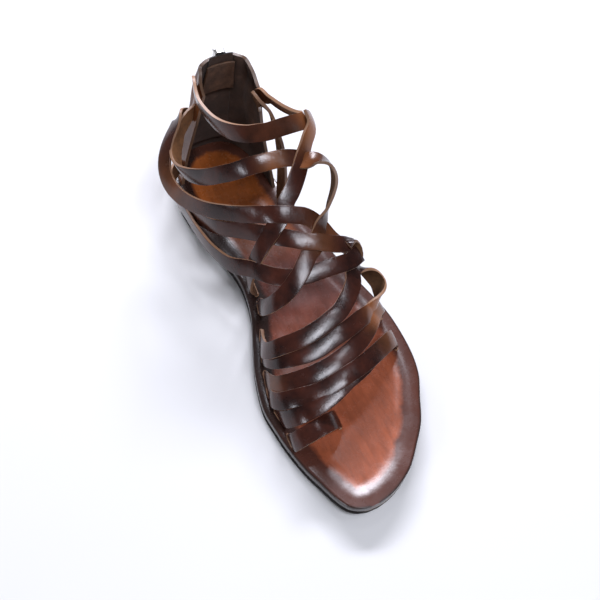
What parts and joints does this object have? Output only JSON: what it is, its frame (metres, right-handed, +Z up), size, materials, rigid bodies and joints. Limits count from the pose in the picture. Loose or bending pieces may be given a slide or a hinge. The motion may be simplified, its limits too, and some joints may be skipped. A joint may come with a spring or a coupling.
{
  "type": "crisscross leather sandal",
  "caption": "Flat leather sandal for the left foot with crisscross straps, a big-toe loop, a standing heel counter and a back zip.",
  "frame": {"origin": "middle of the bounding box's base, on the floor", "axes": "+Z up, -Y towards the toe, +Y towards the heel, +X towards the outer side of the foot"},
  "size_m": [0.0968, 0.2616, 0.1012],
  "materials": {
    "outsole": "matt, dark brown",
    "heel": "matt, dark brown",
    "footbed_leather": "polished, red brown with a burnished rim",
    "upper_leather": "glossy, chocolate brown",
    "guard_leather": "worn brown",
    "tape": "woven, black",
    "zip_metal": "bright"
  },
  "bodies": {
    "sandal": {"outsole": "outsole", "heel": "heel", "insole": "footbed_leather", "upper": "upper_leather", "toe_loop": "upper_leather", "zip_tape": "tape", "zip_guard": "guard_leather", "zip_teeth": "zip_metal", "zip_slider": "zip_metal"},
    "pull": {"zip_pull": "zip_metal"}
  },
  "joints": [
    {"name": "pull_hinge", "type": "hinge", "parent": "sandal", "child": "pull", "pos_m": [0.00462, 0.12451, 0.09278], "axis": [0.9924, 0, -0.1227], "range_deg": [0, 150]}
  ]
}
